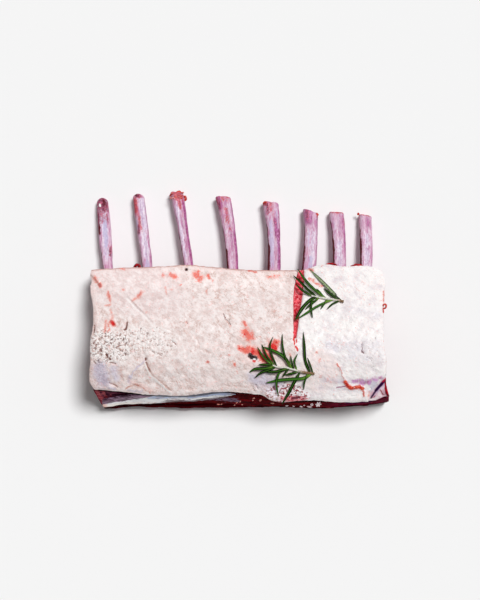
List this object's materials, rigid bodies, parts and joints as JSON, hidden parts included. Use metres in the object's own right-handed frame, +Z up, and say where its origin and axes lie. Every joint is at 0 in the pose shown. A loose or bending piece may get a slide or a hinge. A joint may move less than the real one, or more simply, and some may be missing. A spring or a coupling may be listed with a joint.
{
  "type": "rack of lamb",
  "caption": "Raw frenched rack of lamb lying bone side down, with a thick white fat cap, bare rib bones and rosemary sprigs on top.",
  "frame": {"origin": "on the table, under the middle of the whole piece", "axes": "+X along the spine towards the shoulder end, +Y from the chine edge to the rib tips, +Z up through the fat cap"},
  "size_m": [0.2238, 0.165, 0.0553],
  "materials": {
    "fat": "moist white fat with a pink tinge",
    "lean": "moist raw red meat",
    "sinew": "shiny silver-white sinew",
    "bone": "scraped raw bone, pink and lilac",
    "rosemary": "fresh dark green needles with pale undersides"
  },
  "bodies": {
    "root": {"fat_cap": "fat", "cap_muscle": "lean", "seam_fat": "fat", "eye_muscle": "lean", "sinew_band": "sinew", "rib_meat": "lean", "rib_1": "bone", "rib_2": "bone", "rib_3": "bone", "rib_4": "bone", "rib_5": "bone", "rib_6": "bone", "rib_7": "bone", "rib_8": "bone", "rosemary_upper": "rosemary", "rosemary_lower": "rosemary"}
  },
  "joints": []
}
